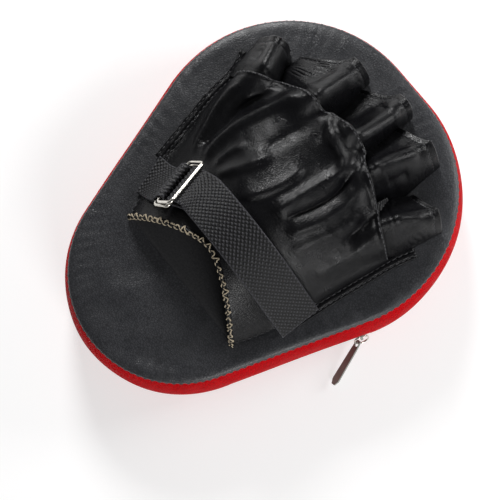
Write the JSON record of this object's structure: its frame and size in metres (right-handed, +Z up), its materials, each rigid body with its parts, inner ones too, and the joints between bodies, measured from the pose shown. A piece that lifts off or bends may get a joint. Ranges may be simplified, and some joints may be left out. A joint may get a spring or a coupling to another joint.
{
  "type": "focus mitt",
  "caption": "Hand-worn padded striking target: a tapered foam pad with a fingerless leather glove, a wrist strap through double rings and a zipped side band.",
  "frame": {"origin": "centre of the flat striking face, which rests on the ground", "axes": "+Z up from the striking face through the glove, +Y towards the fingers, +X towards the little finger"},
  "size_m": [0.1996, 0.2408, 0.0899],
  "materials": {
    "panel_leather": "satin",
    "glove_leather": "satin",
    "band_leather": "satin",
    "foam": "matte",
    "board": "matte",
    "webbing": "matte",
    "fastener": "matte",
    "binding_thread": "matte",
    "stitch_thread": "satin",
    "ring_steel": "polished",
    "zip_tape": "matte",
    "zip_nylon": "satin"
  },
  "bodies": {
    "root": {"face_panel": "panel_leather", "side_band": "band_leather", "back_panel": "panel_leather", "soft_foam": "foam", "dense_foam": "foam", "backing_board": "board", "hand_foam": "foam", "glove_palm": "panel_leather", "glove_back": "glove_leather", "thumb_sleeve": "glove_leather", "index_sleeve": "glove_leather", "middle_sleeve": "glove_leather", "ring_finger_sleeve": "glove_leather", "little_sleeve": "glove_leather", "thumb_gusset": "glove_leather", "index_gusset": "glove_leather", "middle_gusset": "glove_leather", "little_gusset": "glove_leather", "left_flange": "glove_leather", "right_flange": "glove_leather", "wrist_binding": "binding_thread", "ring_tab": "webbing", "strap_fold": "webbing", "strap_anchor": "webbing", "strap_loop": "fastener", "zip_tape_upper": "zip_tape", "zip_tape_lower": "zip_tape", "zip_teeth_upper": "zip_nylon", "zip_teeth_lower": "zip_nylon", "zip_stops": "ring_steel"},
    "inner_ring": {"inner_ring": "ring_steel"},
    "outer_ring": {"outer_ring": "ring_steel"},
    "strap_tail": {"strap_tail": "webbing", "strap_hook": "fastener"},
    "zip_slider": {"zip_slider": "ring_steel"},
    "link_ring": {"zip_link_ring": "ring_steel"},
    "pull_tab": {"zip_pull_tab": "ring_steel"}
  },
  "joints": [
    {"name": "strap_peel", "type": "hinge", "parent": "root", "child": "strap_tail", "pos_m": [-0.02514, -0.01962, 0.07877], "axis": [0.2614, -0.9135, 0.3116], "range_deg": [0, 95]},
    {"name": "outer_ring_lift", "type": "hinge", "parent": "root", "child": "outer_ring", "pos_m": [-0.03721, -0.02597, 0.0703], "axis": [0.2614, -0.9135, 0.3116], "range_deg": [0, 60]},
    {"name": "inner_ring_rock", "type": "hinge", "parent": "root", "child": "inner_ring", "pos_m": [-0.038, -0.028, 0.065], "axis": [0.2614, -0.9135, 0.3116], "range_deg": [-2, 2]},
    {"name": "zip_run", "type": "slide", "parent": "root", "child": "zip_slider", "axis": [-0.3132, -0.9497, 0], "range_m": [0, 0.075]},
    {"name": "link_swing", "type": "hinge", "parent": "zip_slider", "child": "link_ring", "pos_m": [0.09106, 0.00586, 0.017], "axis": [0.3132, 0.9497, 0], "range_deg": [-110, 10]},
    {"name": "pull_swing", "type": "hinge", "parent": "link_ring", "child": "pull_tab", "pos_m": [0.09262, 0.0025, 0.01003], "axis": [-0.5655, -0.4003, 0.7211], "range_deg": [-15, 110]}
  ]
}
